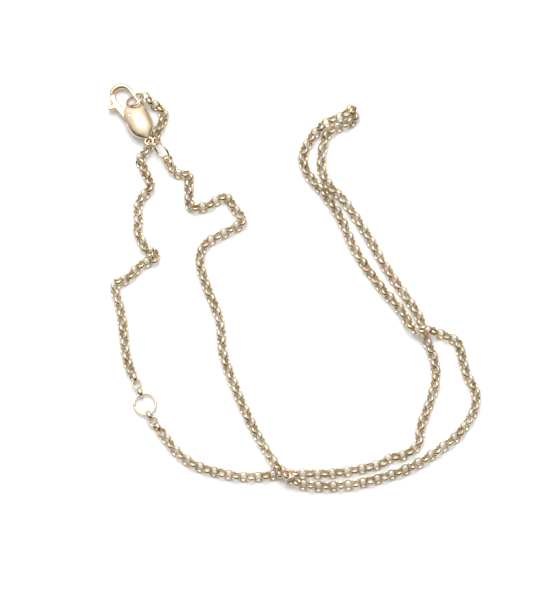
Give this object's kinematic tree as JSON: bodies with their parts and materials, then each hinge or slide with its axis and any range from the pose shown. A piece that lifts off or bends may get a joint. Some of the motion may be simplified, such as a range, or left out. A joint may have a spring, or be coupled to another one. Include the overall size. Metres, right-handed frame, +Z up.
{
  "type": "chain anklet",
  "caption": "Fine belcher chain anklet with an extension length, jump rings and a sprung lobster clasp, fastened and lying slack in loops.",
  "frame": {"origin": "on the surface that the anklet lies on, under the middle of its outline", "axes": "+Z up from the surface, +Y towards the far side where the clasp lies, +X to the right"},
  "size_m": [0.0479, 0.0533, 0.0032],
  "materials": {
    "gold": "polished"
  },
  "bodies": {
    "anklet": {"main_chain": "gold", "extension_chain": "gold", "middle_ring": "gold", "end_ring": "gold", "chain_ring": "gold", "clasp_ring": "gold", "clasp_body": "gold", "clasp_pin": "gold"},
    "lever": {"clasp_lever": "gold"}
  },
  "joints": [
    {"name": "lever_swing", "type": "hinge", "parent": "anklet", "child": "lever", "pos_m": [-0.02115, 0.022, 0.00118], "axis": [0.0549, -0.1088, -0.9925], "range_deg": [0, 22], "stiffness_Nm_per_rad": 0.0002}
  ]
}
